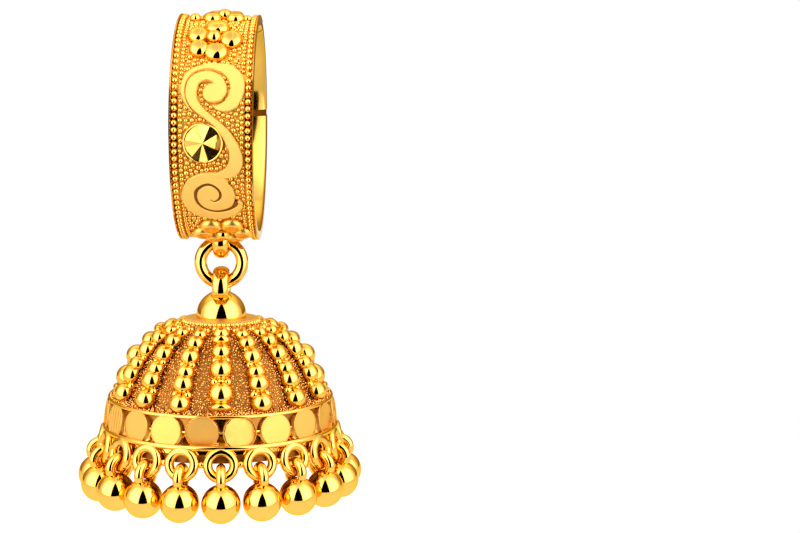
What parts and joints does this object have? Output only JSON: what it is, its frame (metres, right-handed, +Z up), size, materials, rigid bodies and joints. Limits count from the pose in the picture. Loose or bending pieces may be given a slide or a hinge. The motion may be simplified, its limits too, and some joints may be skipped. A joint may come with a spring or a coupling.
{
  "type": "jhumka earring",
  "caption": "Gold jhumka earring: a wide ornamented hoop with a clasp leaf and ear pin, a link ring, and a hanging bell-shaped dome with a disc band and a fringe of balls.",
  "frame": {"origin": "the middle of the ear pin, where the earring hangs in the ear lobe", "axes": "+Z up as worn, -Y towards the viewer in front of the earring, +X along the hoop's axis to the viewer's right"},
  "size_m": [0.0212, 0.0212, 0.0357],
  "materials": {
    "granulated_gold": "yellow gold worked with granulation, beads and satin scrolls",
    "polished_gold": "mirror-polished yellow gold"
  },
  "bodies": {
    "hoop": {"hoop_band": "granulated_gold", "ear_clasp": "polished_gold"},
    "link": {"link_ring": "polished_gold"},
    "drop": {"jhumka_dome": "granulated_gold", "ball_drop_01": "polished_gold", "ball_drop_02": "polished_gold", "ball_drop_03": "polished_gold", "ball_drop_04": "polished_gold", "ball_drop_05": "polished_gold", "ball_drop_06": "polished_gold", "ball_drop_07": "polished_gold", "ball_drop_08": "polished_gold", "ball_drop_09": "polished_gold", "ball_drop_10": "polished_gold", "ball_drop_11": "polished_gold", "ball_drop_12": "polished_gold", "ball_drop_13": "polished_gold", "ball_drop_14": "polished_gold", "ball_drop_15": "polished_gold", "ball_drop_16": "polished_gold", "ball_drop_17": "polished_gold", "ball_drop_18": "polished_gold", "ball_drop_19": "polished_gold", "ball_drop_20": "polished_gold"}
  },
  "joints": [
    {"name": "link_swing", "type": "hinge", "parent": "hoop", "child": "link", "pos_m": [0, 0, -0.01293], "axis": [1, 0, 0], "range_deg": [-50, 50]},
    {"name": "drop_swing", "type": "hinge", "parent": "link", "child": "drop", "pos_m": [0, 0, -0.01447], "axis": [0, 1, 0], "range_deg": [-30, 30]}
  ]
}
